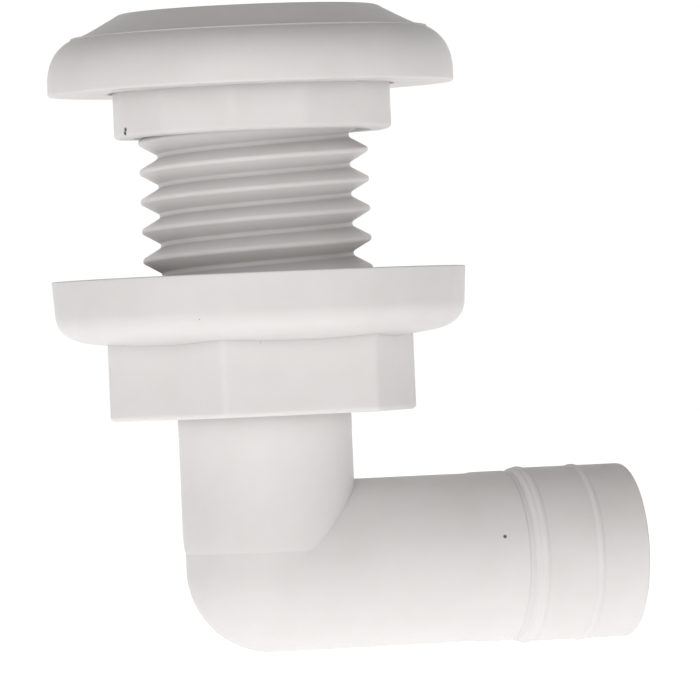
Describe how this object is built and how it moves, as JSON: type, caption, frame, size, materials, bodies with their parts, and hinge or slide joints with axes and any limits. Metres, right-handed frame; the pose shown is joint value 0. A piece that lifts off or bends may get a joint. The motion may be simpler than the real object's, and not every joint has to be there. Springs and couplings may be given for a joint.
{
  "type": "thru hull fitting",
  "caption": "White plastic mushroom-head hull fitting with a threaded barrel, lock nut, flanged union nut and 90 degree barbed hose tail.",
  "frame": {"origin": "on the barrel's axis, in the plane of the mushroom head's flat underside, where the head meets the hull", "axes": "+Z along the barrel's axis, out of the hull through the head; +X along the hose tail, away from the barrel; +Y makes the frame right-handed"},
  "size_m": [0.0965, 0.069, 0.1079],
  "materials": {
    "white_plastic": "satin moulded",
    "natural_plastic": "satin moulded",
    "seal_rubber": "matt"
  },
  "bodies": {
    "root": {"thru_hull_body": "white_plastic"},
    "gasket": {"hull_gasket": "seal_rubber"},
    "lock_nut": {"lock_nut": "white_plastic"},
    "seal": {"tail_seal_washer": "seal_rubber"},
    "union_nut": {"union_nut": "white_plastic"},
    "tail": {"elbow_tail": "white_plastic", "retaining_ring": "natural_plastic"}
  },
  "joints": [
    {"name": "gasket_slide", "type": "slide", "parent": "root", "child": "gasket", "axis": [0, 0, 1], "range_m": [-0.02186, 0]},
    {"name": "lock_nut_turn", "type": "hinge", "parent": "gasket", "child": "lock_nut", "pos_m": [0, 0, 0], "axis": [0, 0, 1], "range_deg": [-1600, 0]},
    {"name": "tail_slide", "type": "slide", "parent": "root", "child": "seal", "axis": [0, 0, 1], "range_m": [-0.01202, 0]},
    {"name": "union_nut_turn", "type": "hinge", "parent": "seal", "child": "union_nut", "pos_m": [0, 0, 0], "axis": [0, 0, 1], "range_deg": [-880, 0]},
    {"name": "tail_swivel", "type": "hinge", "parent": "seal", "child": "tail", "pos_m": [0, 0, 0], "axis": [0, 0, 1], "continuous": true}
  ],
  "couplings": [
    {"joint": "lock_nut_turn", "follows": "gasket_slide", "rad_per_m": 1277.1},
    {"joint": "union_nut_turn", "follows": "tail_slide", "rad_per_m": 1277.1}
  ]
}
